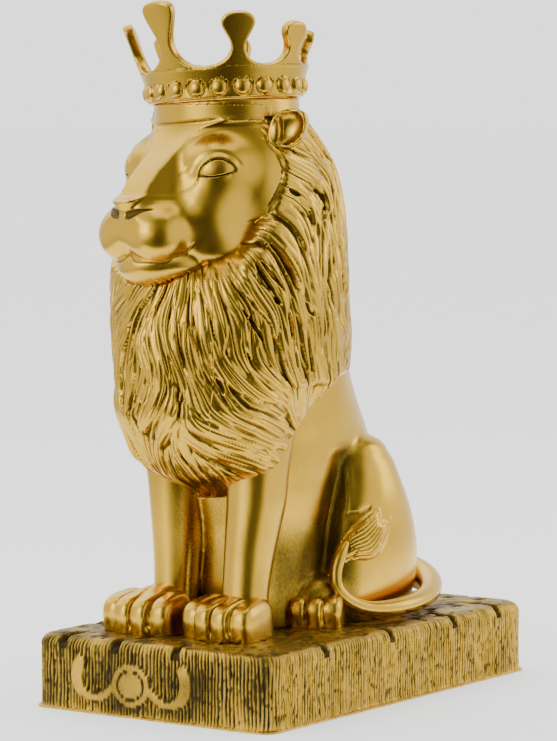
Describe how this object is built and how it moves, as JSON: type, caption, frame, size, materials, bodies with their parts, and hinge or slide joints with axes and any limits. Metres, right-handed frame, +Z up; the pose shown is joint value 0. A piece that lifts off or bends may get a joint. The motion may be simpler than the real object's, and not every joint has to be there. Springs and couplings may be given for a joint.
{
  "type": "lion statue",
  "caption": "Seated male lion with a flowing mane and an open pronged crown, on a rough rectangular plinth with a scroll ornament.",
  "frame": {"origin": "middle of the plinth's underside", "axes": "+Z up, the lion's body faces -Y, its left side is +X"},
  "size_m": [0.124, 0.2044, 0.298],
  "materials": {
    "lion_gold": "satin gold paint over cast resin, darker in the carved lines",
    "crown_gold": "satin gold paint over cast resin",
    "plinth_gold": "gold paint over rough cast resin with dark patina in the grooves"
  },
  "bodies": {
    "root": {"plinth": "plinth_gold", "lion": "lion_gold", "crown": "crown_gold"}
  },
  "joints": []
}
